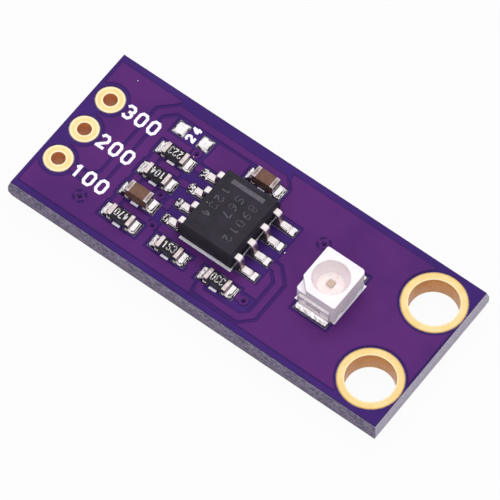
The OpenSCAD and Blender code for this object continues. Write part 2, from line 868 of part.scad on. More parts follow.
module amp_bond_wires() {
    color("#e6b95c") for (row = lead_rows) {
        from = [amp_die_w / 2 - 4 * wire_t, row * bond_pitch];
        reach = [finger_in + 5 * wire_t, row * lead_pitch] - from;
        translate([amp_x, 0, 0]) both_ways()
            translate(from) rotate(atan2(reach[1], reach[0]))
                bond_wire([0, paddle_high + amp_die_h], [norm(reach), paddle_high], wire_rise);
    }
}

// Solder under each foot and in a low fillet in front of its tip
module amp_solder() {
    heel = foot_out - lead_foot - 2 * lead_fillet;
    edge = amp_land_span / 2 - land_edge;
    run = edge - foot_out;
    color("#e4e2e8") translate([0, 0, foil_high]) at_leads() across(lead_w + 2 * lead_fillet) polygon([
        [heel, 0], [heel, solder_t], [foot_out, solder_t], [foot_out, solder_t + 0.8 * lead_t],
        [foot_out + 0.22 * run, solder_t + 0.5 * lead_t], [foot_out + 0.56 * run, solder_t + 0.15 * lead_t],
        [edge, solder_t], [edge, 0]
    ]);
}

// Outline of the sensor's housing, with or without its cut corner
module housing_outline(with_cut) {
    x = sensor_x_l / 2;
    y = sensor_y_l / 2;
    start = with_cut ? [[-x, notch_l - y], [notch_l - x, -y]] : [[-x, -y]];
    start_r = with_cut ? [corner_r / 2, corner_r / 2] : [notch_r];
    polygon(rounded_loop(
        concat(start, [[x, -y], [x, y], [-x, y]]), concat(start_r, [corner_r, blunt_r, corner_r])
    ));
}

// Round window that narrows to its floor, drawn past the top by g
module window_cone(g) {
    translate([sensor_x, 0, floor_z])
        cylinder(h = window_d + g, r1 = floor_r, r2 = window_r + g * (window_r - floor_r) / window_d);
}

module sensor_housing() {
    color("#fbf3fb") difference() {
        translate([sensor_x, 0, 0]) {
            slab(seat_z + housing_lift, sensor_high - notch_d) housing_outline(false);
            slab(sensor_high - notch_d, sensor_high) housing_outline(true);
        }
        window_cone(past);
        sensor_front_terminal();
        sensor_back_terminal();
        for (side = [-1, 1], way = [-1, 1])
            translate([sensor_x + side * sensor_x_l / 2, way * slot_y, seat_z + slot_h / 2])
                cube([2 * slot_d, slot_l, slot_h], center = true);
    }
}

// Metal strip that folds from under the housing up its end and in to the window's floor
module terminal(side, inner_y) {
    arm_y = tab_out - tab_t / 2;
    low = seat_z + tab_t / 2;
    high = floor_z - tab_t / 2;
    route = rounded([[tab_in, low], [arm_y, low], [arm_y, high], [tab_in, high]], 0.7 * tab_t);
    translate([sensor_x, 0, 0]) rotate([0, 0, side * 90]) {
        difference() {
            across(tab_w) ribbon(route, tab_t);
            translate([tab_out - tab_t, -tab_hole_w / 2, seat_z + tab_hole_up])
                cube([2 * tab_t, tab_hole_w, tab_hole_h]);
        }
        slab(floor_z - tab_t, floor_z) panel([inner_y, -tab_pad_w / 2], [tab_in + tab_t, tab_pad_w / 2]);
    }
}

module sensor_front_terminal() {
    color("#efe6ea") terminal(-1, split_gap / 2 - split_y);
}

module sensor_back_terminal() {
    color("#efe6ea") terminal(1, split_y + split_gap / 2);
}

module sensor_die() {
    color("#c8b0a0") translate([sensor_x, 0, 0]) slab(floor_z, floor_z + die_h)
        square(die_s, center = true);
}

module sensor_bond_wire() {
    far = split_y + split_gap + 4 * wire_t;
    color("#e6c9b0") translate([sensor_x + die_s / 6, 0, 0]) rotate([0, 0, 90])
        bond_wire([die_s / 4, floor_z + die_h], [far, floor_z], wire_rise);
}

module sensor_window_fill() {
    color("#f3e6e6", 0.4) difference() {
        window_cone(0);
        sensor_die();
        sensor_bond_wire();
    }
}

// Solder under and in front of a sensor terminal
module sensor_solder(side) {
    edge = sensor_land_span / 2 - land_edge;
    run = edge - tab_out;
    color("#e4e2e8") translate([sensor_x, 0, foil_high]) rotate([0, 0, side * 90])
        across(sensor_land_w - 2 * land_edge) polygon([
            [tab_in, 0], [tab_in, solder_t], [tab_out, solder_t], [tab_out, solder_t + tab_climb],
            [tab_out + 0.3 * run, solder_t + 0.53 * tab_climb],
            [tab_out + 0.75 * run, solder_t + 0.17 * tab_climb],
            [edge, solder_rim], [edge, 0]
        ]);
}

board_core();
top_copper();
bottom_copper();
top_mask();
bottom_mask();
white_print();
for (k = [1 : 3]) pin_eyelet(k);
for (k = [1 : 2]) mount_eyelet(k);
via_barrels();
for (k = [1 : 5]) {
    at = resistor_at[k - 1];
    resistor_ceramic(at);
    resistor_glaze(at);
    resistor_ends(at);
    chip_solder(at, resistor_h);
}
for (k = [1 : 2]) {
    at = capacitor_at[k - 1];
    capacitor_ceramic(at);
    capacitor_ends(at);
    chip_solder(at, capacitor_h);
}
spare_land_solder();
amp_body();
amp_leads();
amp_paddle();
amp_die();
amp_bond_wires();
amp_solder();
sensor_housing();
sensor_window_fill();
sensor_die();
sensor_bond_wire();
sensor_front_terminal();
sensor_back_terminal();
sensor_solder(-1);  // sensor_front_solder
sensor_solder(1);  // sensor_back_solder
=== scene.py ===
import math

import bmesh
import bpy
from mathutils import Matrix, Vector, noise


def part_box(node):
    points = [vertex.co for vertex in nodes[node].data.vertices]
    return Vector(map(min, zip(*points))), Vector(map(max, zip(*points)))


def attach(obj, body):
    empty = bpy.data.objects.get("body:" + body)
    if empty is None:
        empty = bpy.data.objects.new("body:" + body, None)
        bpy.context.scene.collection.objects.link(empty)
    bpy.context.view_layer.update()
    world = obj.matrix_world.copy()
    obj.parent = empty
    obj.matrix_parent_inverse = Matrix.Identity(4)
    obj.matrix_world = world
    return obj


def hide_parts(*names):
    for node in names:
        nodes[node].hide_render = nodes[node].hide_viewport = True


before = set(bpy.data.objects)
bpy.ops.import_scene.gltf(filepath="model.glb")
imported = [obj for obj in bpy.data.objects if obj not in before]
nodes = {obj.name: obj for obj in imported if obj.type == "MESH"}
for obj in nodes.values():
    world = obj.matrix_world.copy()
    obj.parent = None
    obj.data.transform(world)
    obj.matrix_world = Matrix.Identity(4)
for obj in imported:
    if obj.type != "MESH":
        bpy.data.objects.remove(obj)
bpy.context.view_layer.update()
mm = 0.001
print("frame loaded:", len(nodes), "nodes")


# Colours are written as they look on screen and turned into linear light here
def tint(code):
    channels = [int(code[k:k + 2], 16) / 255 for k in (1, 3, 5)]
    return [c / 12.92 if c <= 0.04045 else ((c + 0.055) / 1.055) ** 2.4 for c in channels] + [1.0]


# A value goes to a socket by name, or by number as i0, i1 and so on
def addNode(tree, kind, options=None, **inputs):
    node = tree.nodes.new(kind)
    for key, value in (options or {}).items():
        setattr(node, key, value)
    for key, value in inputs.items():
        socket = node.inputs[int(key[1:])] if key[0] == "i" and key[1:].isdigit() else node.inputs[key]
        if isinstance(value, bpy.types.NodeSocket):
            tree.links.new(value, socket)
        else:
            socket.default_value = value
    return node


def addMath(tree, operation, first, second=0.0):
    return addNode(tree, "ShaderNodeMath", {"operation": operation}, i0=first, i1=second).outputs[0]


def addVectorMath(tree, operation, first, second, output="Vector"):
    return addNode(tree, "ShaderNodeVectorMath", {"operation": operation}, i0=first, i1=second).outputs[output]


def addAxis(tree, vector, axis):
    return addNode(tree, "ShaderNodeSeparateXYZ", i0=vector).outputs["XYZ".index(axis)]


def addNoise(tree, place, size, detail, rough, stretch):
    spread = addNode(tree, "ShaderNodeMapping", i0=place, i3=[s / (size * mm) for s in stretch])
    grain = addNode(tree, "ShaderNodeTexNoise", Scale=1.0, Detail=detail, Roughness=rough)
    tree.links.new(spread.outputs[0], grain.inputs["Vector"])
    return grain.outputs["Fac"]


def addRamp(tree, factor, low, high, start, end):
    ramp = addNode(tree, "ShaderNodeMapRange", {"interpolation_type": "SMOOTHSTEP"}, i0=factor)
    for key, value in zip((1, 2, 3, 4), (low, high, start, end)):
        ramp.inputs[key].default_value = value
    return ramp.outputs[0]


def addMix(tree, factor, first, second):
    return addNode(tree, "ShaderNodeMix", {"data_type": "RGBA"}, i0=factor, i6=first, i7=second).outputs[2]


# Shares of a noise, or of a slope, between which a tone or a roughness turns
turnPoints = {
    "tones": (0.32, 0.68), "layers": (0.38, 0.62), "fleck": (0.58, 0.72), "rough": (0.3, 0.7), "ends": (0.3, 0.8),
}


# Bands of tone by height, in millimetres
def addLayers(tree, look, place, patches, colour):
    height = addAxis(tree, place, "Z")
    for low, high, tone, toneTwo, amount in look["layers"]:
        layer = addMix(tree, addRamp(tree, patches, *turnPoints["layers"], 0, 1), tint(tone), tint(toneTwo))
        colour = addMix(tree, addRamp(tree, height, low * mm, high * mm, 0, amount), colour, layer)
    return colour


# Rings of painted highlight and painted shade round the centres, on the tops alone: radius, width, tone and amount of
# each
def addPaintedRims(tree, look, place, colour):
    low, high = look["rimsAbove"]
    onTop = addRamp(tree, addAxis(tree, place, "Z"), low * mm, high * mm, 0, 1)
    flat = addVectorMath(tree, "MULTIPLY", place, (1, 1, 0))
    radius = None
    for x, y in look["centres"]:
        away = addVectorMath(tree, "DISTANCE", flat, (x * mm, y * mm, 0), "Value")
        radius = addMath(tree, "MINIMUM", radius, away) if radius else away
    for rim, width, tone, amount in look["rimLightAndShade"]:
        off = addMath(tree, "ABSOLUTE", addMath(tree, "SUBTRACT", radius, rim * mm))
        share = addMath(tree, "MULTIPLY", addRamp(tree, off, 0, width * mm, amount, 0), onTop)
        colour = addMix(tree, share, colour, tint(tone))
    return colour


# One finish: two tones mixed by a grain, a roughness range, a bump, and what else it names
plainLook = {"stretch": (1, 1, 1), "bump": 0.3, "relief": 0.01, "shader": {}}


def makeFinish(name, ownLook):
    look = {**plainLook, **ownLook}
    material = bpy.data.materials.new(name)
    material.use_nodes = True
    tree = material.node_tree
    shader = tree.nodes["Principled BSDF"]
    where = addNode(tree, "ShaderNodeTexCoord")
    place, side = where.outputs["Object"], where.outputs["Normal"]
    patches = addNoise(tree, place, look["patch"], 2.0, 0.5, look["stretch"])
    grain = addNoise(tree, place, look["grain"], 4.0, 0.6, look["stretch"])
    colour = addMix(tree, addRamp(tree, patches, *turnPoints["tones"], 0, 1), tint(look["tone"]), tint(look["toneTwo"]))
    if "fleck" in look:
        colour = addMix(tree, addRamp(tree, grain, *turnPoints["fleck"], 0, 1), colour, tint(look["fleck"]))
    if "layers" in look:
        colour = addLayers(tree, look, place, patches, colour)
    if "rimLightAndShade" in look:
        colour = addPaintedRims(tree, look, place, colour)
    if "ends" in look:  # faces that look along the board take another tone; on the chips' metal end caps it is painted shade
        tone, amount = look["ends"]
        along = addMath(tree, "ABSOLUTE", addAxis(tree, side, "X"))
        colour = addMix(tree, addRamp(tree, along, *turnPoints["ends"], 0, amount), colour, tint(tone))
    if "shadedSlope" in look:  # flanks painted darker the steeper they are: painted shade, as steep solder mirrors the dark board
        tone, level, shadedSlope, amount = look["shadedSlope"]
        colour = addMix(tree, addRamp(tree, addAxis(tree, side, "Z"), shadedSlope, level, amount, 0), colour, tint(tone))
    bump = addNode(tree, "ShaderNodeBump", Strength=look["bump"], Distance=look["relief"] * mm, Height=grain)
    if "soften" in look:
        soft = addNode(tree, "ShaderNodeBevel", {"samples": 6}, Radius=look["soften"] * mm).outputs[0]
        tree.links.new(soft, bump.inputs["Normal"])
        if "edge" in look:  # edges painted: a pale painted highlight along the chips' metal end caps, dark painted shade along the solder mask's raised edges
            tone, amount, reach = look["edge"]
            flat = addNode(tree, "ShaderNodeNewGeometry").outputs["Normal"]
            facing = addVectorMath(tree, "DOT_PRODUCT", soft, flat, "Value")
            colour = addMix(tree, addRamp(tree, facing, 0.999, reach, 0, amount), colour, tint(tone))
    tree.links.new(colour, shader.inputs["Base Color"])
    tree.links.new(addRamp(tree, grain, *turnPoints["rough"], *look["rough"]), shader.inputs["Roughness"])
    tree.links.new(bump.outputs[0], shader.inputs["Normal"])
    for key, value in look["shader"].items():
        shader.inputs[key].default_value = value
    if "plainAbove" in look:  # heights over which the metal turns plain
        low, high = look["plainAbove"]
        metalShare = addRamp(tree, addAxis(tree, place, "Z"), low * mm, high * mm, look["shader"]["Metallic"], 0)
        tree.links.new(metalShare, shader.inputs["Metallic"])
    return material


metal = {"Metallic": 1.0}
finishes = {
    "laminate": {
        "tone": "#978ca4", "toneTwo": "#635873", "patch": 0.22, "grain": 0.12, "fleck": "#e2dcea", "stretch": (1, 1, 1.6),
        "layers": [(0.4, 0.1, "#50465c", "#6a5f78", 0.7), (1.3, 1.5, "#a097ae", "#857b98", 0.5)],
        "ends": ("#dcd6e4", 0.7), "rough": (0.55, 0.8), "bump": 1.0, "relief": 0.06,
        "shader": {"Specular IOR Level": 0.3},
    },
    "copper": {
        "tone": "#b5713e", "toneTwo": "#c98a4b", "patch": 0.8, "grain": 0.1, "rough": (0.3, 0.45), "shader": metal,
    },
    "tinnedLand": {
        # lands darkened far below bare tin: painted shade where they show round and under the solder
        "tone": "#3a3248", "toneTwo": "#5f5768", "patch": 0.2, "grain": 0.06, "rough": (0.3, 0.5),
        "bump": 0.4, "shader": {"Metallic": 0.8},
    },
    "solderMask": {
        "tone": "#3a1f67", "toneTwo": "#41246f", "patch": 3.5, "grain": 0.12, "rough": (0.34, 0.44),
        "layers": [(1.583, 1.597, "#50246a", "#58276f", 1.0), (0.017, 0.003, "#50246a", "#58276f", 1.0)],
        # the dark edge tone is painted shade along the mask's raised edges over the copper
        "soften": 0.08, "edge": ("#2f1a59", 0.9, 0.985), "bump": 0.12, "relief": 0.004,
        "shader": {"Specular IOR Level": 0.1},
    },
    "viaWall": {
        "tone": "#7d5ca8", "toneTwo": "#8c6bb6", "patch": 0.3, "grain": 0.06, "rough": (0.4, 0.5),
        "shader": {"Specular IOR Level": 0.2},
    },
    "whitePrint": {
        "tone": "#fbf9ff", "toneTwo": "#f1edfc", "patch": 0.5, "grain": 0.06, "rough": (0.6, 0.75),
        "bump": 0.4, "relief": 0.008, "shader": {"Specular IOR Level": 0.2},
    },
    "goldPlating": {
        # barrel walls take a darker, browner copy of the rings' gold: painted shade of the hole
        "tone": "#bc7e46", "toneTwo": "#c68a52", "patch": 0.6, "grain": 0.07, "rough": (0.36, 0.46),
        "layers": [(1.5, 1.57, "#fbdb96", "#fee3a4", 1.0), (0.1, 0.03, "#fbdb96", "#fee3a4", 1.0)],
        "centres": [(11.41, -3.16), (11.41, 3.16)], "rimsAbove": (1.56, 1.575),
        # cream ring: painted highlight on the inner lip; amber ring: painted shade at the outer edge
        "rimLightAndShade": [(1.57, 0.1, "#fff3cf", 0.8), (2.02, 0.12, "#e2a64e", 0.8)],
        "bump": 0.25, "relief": 0.006, "shader": {"Metallic": 0.85},
    },
    "resistorCeramic": {
        "tone": "#3a353f", "toneTwo": "#4b4552", "patch": 0.3, "grain": 0.06, "rough": (0.5, 0.7),
        "bump": 0.4, "shader": {"Specular IOR Level": 0.2},
    },
    "resistorGlaze": {
        "tone": "#17141a", "toneTwo": "#221e25", "patch": 0.4, "grain": 0.07, "rough": (0.3, 0.45),
        "soften": 0.03, "bump": 0.25, "relief": 0.006, "shader": {"Specular IOR Level": 0.2},
    },
    "resistorEnds": {
        "tone": "#d9c6c6", "toneTwo": "#efe2e2", "patch": 0.2, "grain": 0.05, "rough": (0.25, 0.45),
        # a pale painted highlight along the end caps' edges, and painted shade on their end faces
        "soften": 0.06, "edge": ("#fffafa", 0.9, 0.85), "ends": ("#5d4a4b", 0.85), "shader": {"Metallic": 0.85},
    },
    "capacitorEnds": {
        "tone": "#8a6f6c", "toneTwo": "#a08783", "patch": 0.2, "grain": 0.05, "rough": (0.25, 0.4),
        # a pale painted highlight along the end caps' edges, and painted shade on their end faces
        "soften": 0.1, "edge": ("#fffafa", 1.0, 0.955), "ends": ("#4e3b38", 0.85), "shader": {"Metallic": 0.8},
    },
    "solder": {
        "tone": "#f4eef0", "toneTwo": "#fffcfd", "patch": 0.3, "grain": 0.16, "rough": (0.08, 0.2),
        # steep flanks take a dark painted shade
        "shadedSlope": ("#473c47", 0.88, 0.5, 0.9), "bump": 0.4, "relief": 0.025, "shader": metal,
    },
    "capacitorCeramic": {
        "tone": "#694b40", "toneTwo": "#785648", "patch": 0.4, "grain": 0.05, "rough": (0.5, 0.65),
        "soften": 0.04, "bump": 0.4, "shader": {"Specular IOR Level": 0.25},
    },
    "blackEpoxy": {
        "tone": "#27242d", "toneTwo": "#2e2a36", "patch": 0.8, "grain": 0.06, "rough": (0.5, 0.65),
        "soften": 0.04, "bump": 0.5, "relief": 0.012, "shader": {"Specular IOR Level": 0.2},
    },
    "tinnedLeads": {
        "tone": "#eee4e4", "toneTwo": "#faf4f4", "patch": 0.3, "grain": 0.08, "rough": (0.2, 0.35),
        # from about 1.9 to 2.5 mm high the leads' slopes take a brown-grey tone: painted shade below the bright
        # shoulders
        "layers": [(1.86, 1.95, "#8f7870", "#a58d84", 0.85), (2.5, 2.62, "#f4eaea", "#fbf4f4", 1.0)],
        "soften": 0.04, "shader": {"Metallic": 0.9},
    },
    "sensorTabs": {
        "tone": "#e7dde2", "toneTwo": "#f6eef2", "patch": 0.25, "grain": 0.07, "rough": (0.25, 0.4),
        "layers": [(2.58, 2.61, "#faeeeb", "#fff8f6", 1.0)], "plainAbove": (2.58, 2.6), "shader": {"Metallic": 0.6},
    },
    "leadFrame": {
        "tone": "#c19c72", "toneTwo": "#cfac82", "patch": 0.5, "grain": 0.1, "rough": (0.3, 0.45), "shader": metal,
    },
    "silicon": {"tone": "#4d5560", "toneTwo": "#5c6672", "patch": 0.4, "grain": 0.1, "rough": (0.1, 0.2)},
    "bondWire": {
        "tone": "#e6b95c", "toneTwo": "#f0c873", "patch": 0.2, "grain": 0.05, "rough": (0.25, 0.35), "shader": metal,
    },
    "windowWire": {
        "tone": "#f0dcd4", "toneTwo": "#f6e6df", "patch": 0.2, "grain": 0.05, "rough": (0.35, 0.45),
        "shader": {"Metallic": 0.3},
    },
    "whitePlastic": {
        "tone": "#f6edf5", "toneTwo": "#fbf4fa", "patch": 1.2, "grain": 0.08, "rough": (0.42, 0.55),
        "soften": 0.04, "bump": 0.25, "relief": 0.008,
        "shader": {"Specular IOR Level": 0.3, "Subsurface Weight": 0.2, "Subsurface Scale": 0.3 * mm},
    },
    "clearFill": {
        "tone": "#ffe6e4", "toneTwo": "#fff2f0", "patch": 0.5, "grain": 0.2, "rough": (0.1, 0.16),
        "bump": 0.1, "relief": 0.004, "shader": {"Alpha": 0.13, "Specular IOR Level": 0.3},
    },
    "sensingChip": {
        "tone": "#b59c8a", "toneTwo": "#c9b2a1", "patch": 0.12, "grain": 0.04, "rough": (0.3, 0.45),
        "relief": 0.005, "shader": {"Specular IOR Level": 0.4},
    },
    "faintMark": {
        "tone": "#54515b", "toneTwo": "#625f69", "patch": 0.2, "grain": 0.05, "rough": (0.6, 0.7),
        "relief": 0.005, "shader": {"Specular IOR Level": 0.2},
    },
    "chipMark": {
        "tone": "#dcd6d9", "toneTwo": "#f2edef", "patch": 0.15, "grain": 0.05, "rough": (0.55, 0.7),
        "relief": 0.005, "shader": {"Specular IOR Level": 0.2},
    },
}
finishes["pinPlating"] = {
    # barrel walls take a darker, browner copy of the rings' gold: painted shade of the hole
    **finishes["goldPlating"], "tone": "#d8915b", "toneTwo": "#dc9b66", "rough": (0.55, 0.65),
    "centres": [(-12.23, y) for y in (-2.54, 0, 2.54)], "shader": {"Metallic": 0.4},
    # cream rings: painted highlight on the inner and outer lips; amber line: painted shade at the outer edge
    "rimLightAndShade": [(0.48, 0.12, "#fff6d6", 0.9), (0.84, 0.1, "#fff6d6", 0.8), (0.93, 0.05, "#b9823a", 0.8)],
}
materials = {name: makeFinish(name, look) for name, look in finishes.items()}
print("finishes made:", len(materials))


# Which finish and which rounding, in millimetres, each node of the model takes, by its name or a part of it
dressing = {
    "board_core": ("laminate", 0), "top_copper": ("tinnedLand", 0), "bottom_copper": ("copper", 0),
    "top_mask": ("solderMask", 0), "bottom_mask": ("solderMask", 0), "white_print": ("whitePrint", 0),
    "pin_eyelet": ("pinPlating", 0.012), "mount_eyelet": ("goldPlating", 0.012), "via_barrels": ("viaWall", 0),
    "capacitor_1_ends": ("capacitorEnds", 0.03), "capacitor_2_ends": ("capacitorEnds", 0.03),
    "ceramic": ("resistorCeramic", 0.015), "glaze": ("resistorGlaze", 0.015), "ends": ("resistorEnds", 0.02),
    "capacitor_1_ceramic": ("capacitorCeramic", 0.03), "capacitor_2_ceramic": ("capacitorCeramic", 0.03),
    "solder": ("solder", 0), "amp_body": ("blackEpoxy", 0.03), "amp_leads": ("tinnedLeads", 0.02),
    "amp_paddle": ("leadFrame", 0), "amp_die": ("silicon", 0), "amp_bond_wires": ("bondWire", 0),
    "sensor_housing": ("whitePlastic", 0), "sensor_window_fill": ("clearFill", 0), "sensor_die": ("sensingChip", 0.01),
    "sensor_bond_wire": ("windowWire", 0), "terminal": ("sensorTabs", 0),
}
roundingSteps = {"weldWithin": 0.0002, "flatWithin": 0.5, "segments": 2, "sharperThan": 35}  # millimetres and degrees


def roundEdges(obj, width):
    weld = obj.modifiers.new("weld", "WELD")
    weld.merge_threshold = roundingSteps["weldWithin"] * mm
    flat = obj.modifiers.new("flat", "DECIMATE")
    flat.decimate_type = "DISSOLVE"
    flat.angle_limit = math.radians(roundingSteps["flatWithin"])
    edges = obj.modifiers.new("edges", "BEVEL")
    edges.width = width * mm
    edges.segments = roundingSteps["segments"]
    edges.limit_method = "ANGLE"
    edges.angle_limit = math.radians(roundingSteps["sharperThan"])
    shade = obj.modifiers.new("shade", "WEIGHTED_NORMAL")
    shade.keep_sharp = False


for nodeName, nodeObject in nodes.items():
    key = nodeName if nodeName in dressing else next(k for k in dressing if k in nodeName)
    finish, rounding = dressing[key]
    if not nodeObject.material_slots:
        nodeObject.data.materials.append(materials[finish])
    for holder in nodeObject.material_slots:
        holder.material = materials[finish]
    if rounding:
        roundEdges(nodeObject, rounding)
print("nodes dressed")


def meshFrom(build, name, smooth=True):
    shape = bmesh.new()
    build(shape)
    bmesh.ops.recalc_face_normals(shape, faces=shape.faces)
    for face in shape.faces:
        face.smooth = smooth
    mesh = bpy.data.meshes.new(name)
    shape.to_mesh(mesh)
    shape.free()
    return mesh


def addPiece(name, mesh, finish, replaced=()):
    mesh.materials.append(materials[finish])
    piece = bpy.data.objects.new(name, mesh)
    bpy.context.scene.collection.objects.link(piece)
    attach(piece, "root")
    if replaced:
        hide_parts(*replaced)


def boxOf(name):
    low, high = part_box(name)
    return low, high, (low + high) / 2


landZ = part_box("pin_eyelet_1")[1].z
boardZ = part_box("top_mask")[1].z
leastSolder = 0.012  # over all of a land, in millimetres
lumpShift = (7.3, -3.1, 0.7)  # how far each seed moves in the noise


# Faces between two rings of vertices that run the same way
def joinRings(shape, lower, upper):
    for k in range(len(lower)):
        n = (k + 1) % len(lower)
        shape.faces.new((lower[k], lower[n], upper[n], upper[k]))


# Solder as a height field over its land, closed down to the land: u and v run from -1 to 1 along and across it
def addMound(shape, middle, half, heightAt, steps, blunt, widthAt=None):
    along, across = steps
    grid = []
    for i in range(along + 1):
        row = []
        for j in range(across + 1):
            u = -math.cos(math.pi * i / along)
            v = -math.cos(math.pi * j / across)
            wide = half[1] * (widthAt(u) if widthAt else 1)
            x = middle[0] + u * math.sqrt(1 - blunt * v ** 4) * half[0]
            y = middle[1] + v * math.sqrt(1 - blunt * u ** 4) * wide
            atRim = min(i, along - i, j, across - j) == 0
            high = leastSolder * mm if atRim else max(heightAt(x, y, u, v), leastSolder * mm)
            row.append(shape.verts.new((x, y, landZ + high)))
        grid.append(row)
    for i in range(along):
        for j in range(across):
            shape.faces.new((grid[i][j], grid[i + 1][j], grid[i + 1][j + 1], grid[i][j + 1]))
    rim = [row[0] for row in grid] + grid[-1][1:] + [row[-1] for row in grid[-2::-1]] + grid[0][-2:0:-1]
    feet = [shape.verts.new((v.co.x, v.co.y, landZ)) for v in rim]
    joinRings(shape, feet, rim)
    shape.faces.new(feet)


def lumps(x, y, size, seed):
    spot = (x / (size * mm), y / (size * mm), 0)
    return noise.noise(Vector([at + shift * seed for at, shift in zip(spot, lumpShift)]))


# A round step from 0 to 1 as t goes from 0 to 1
def rise(t):
    return math.sin(min(t, 1) * math.pi / 2)


def bell(value, place, width):
    return math.exp(-((value - place) / width) ** 2)


# Shares run from 0 at the chip's end to 1 at the outer rim, or from the middle line to the side
chipJoint = {
    "wide": 0.46, "beyond": 0.035, "under": 0.27, "touch": 0.01, "filmUnder": 0.035, "rim": 0.05,
    "climb": (0.6, 0.16), "reach": 0.72, "hollow": 1.25, "curve": 1.2, "lessAtSides": 0.5,
    "bead": 0.14, "beadAt": 0.82, "beadAlong": 0.13, "beadAcross": 0.11, "beadAtSides": 0.8,
    "rough": 0.06, "lump": 0.17, "roughRise": 1.3,
    "pitAt": (0.3, -0.66), "pitWide": (0.16, 0.17), "pitDeep": 0.9, "steps": (30, 20), "blunt": 0.14,
}


def addChipJoints(name, number):
    joint = chipJoint
    capLow, capHigh, middle = boxOf(name + "_ends")
    solderLow, solderHigh, _ = boxOf(name + "_solder")
    end = (capHigh.x - capLow.x) / 2
    outer = (solderHigh.x - solderLow.x) / 2 + joint["beyond"] * mm
    inner = end - joint["under"] * mm

    def build(shape):
        for towardsMounts in (False, True):
            side = 1 if towardsMounts else -1
            tall = (capHigh.z - capLow.z) * joint["climb"][towardsMounts]
            seed = number * 2 + towardsMounts

            def heightAt(x, y, u, v):
                out = side * (x - middle.x) - end
                across = abs(v)
                if out < -joint["touch"] * mm:
                    return joint["filmUnder"] * mm
                t = out / (outer - end)
                if towardsMounts:
                    fall = (1 - rise(joint["hollow"] * t)) ** joint["curve"]
                else:
                    fall = max(1 - t / joint["reach"], 0)
                slope = tall * fall * (1 - joint["lessAtSides"] * across ** 4)
                besides = joint["beadAtSides"] * bell(across, joint["beadAt"], joint["beadAcross"])
                ring = max(bell(t, joint["beadAt"], joint["beadAlong"]), besides)
                bead = joint["bead"] * mm * ring * (1 - max(t, across) ** 8)
                rough = joint["rough"] * mm * lumps(x, y, joint["lump"], seed) * rise(joint["roughRise"] * t)
                (pitT, pitV), (wideT, wideV) = joint["pitAt"], joint["pitWide"]
                pit = bell(t, pitT, wideT) * bell(v, pitV, wideV) if towardsMounts else 0
                return (joint["rim"] * mm + slope + bead + rough) * (1 - joint["pitDeep"] * pit)

            centre = (middle.x + side * (inner + outer) / 2, middle.y)
            half = ((outer - inner) / 2, joint["wide"] * mm)
            addMound(shape, centre, half, heightAt, joint["steps"], joint["blunt"])

    addPiece(name + "_joints", meshFrom(build, name + "_joints"), "solder", [name + "_solder"])


chipNames = [f"resistor_{k}" for k in range(1, 6)] + [f"capacitor_{k}" for k in range(1, 3)]
for number, chipName in enumerate(chipNames):
    addChipJoints(chipName, number)
print("chip joints made")

spareJoint = {
    "halfLand": 0.41, "high": 0.2, "full": 0.7, "uneven": 0.5, "lump": 0.3, "lumpSeed": 4,
    "rough": 0.065, "grain": 0.16, "roughSeed": 9, "steps": (26, 26), "blunt": 0.12,
}


def buildSpareJoints(shape):
    joint = spareJoint
    low, high, middle = boxOf("spare_land_solder")
    half = (joint["halfLand"] * mm, (high.y - low.y) / 2)
    for side in (-1, 1):

        def heightAt(x, y, u, v):
            dome = max(0, (1 - abs(u) ** 3) * (1 - abs(v) ** 3)) ** joint["full"]
            uneven = 1 + joint["uneven"] * lumps(x, y, joint["lump"], joint["lumpSeed"] + side)
            rough = joint["rough"] * mm * lumps(x, y, joint["grain"], joint["roughSeed"] + side)
            return dome * (joint["high"] * mm * uneven + rough)

        centre = (middle.x + side * ((high.x - low.x) / 2 - half[0]), middle.y)
        addMound(shape, centre, half, heightAt, joint["steps"], joint["blunt"])


spareMesh = meshFrom(buildSpareJoints, "spare_land_joints")
addPiece("spare_land_joints", spareMesh, "solder", ["spare_land_solder"])

# The back row, towards the pin holes, has less solder and more crumbs
ampJoint = {
    "rows": 4, "pitch": 1.27, "wide": 0.3, "beyond": 0.025, "under": 0.62, "waist": 0.8, "waistRun": 0.1,
    "filmUnder": 0.036, "filmHalf": 0.21, "footHalf": 0.205, "film": 0.04, "fillet": 0.12, "filletReach": 0.09,
    "bar": 0.11, "barFrom": 0.05, "barRise": 0.07, "rough": 0.035, "lump": 0.16, "seed": 20, "lessAtSides": 0.5,
    "backBar": 0.5, "backFillet": 0.4, "crumbs": 0.5, "crumbSize": 0.14, "crumbRun": 0.1, "crumbFrom": 0.6,
    "crumbUnder": 0.3, "crumbSeed": 40, "steps": (40, 20), "blunt": 0.14,
}


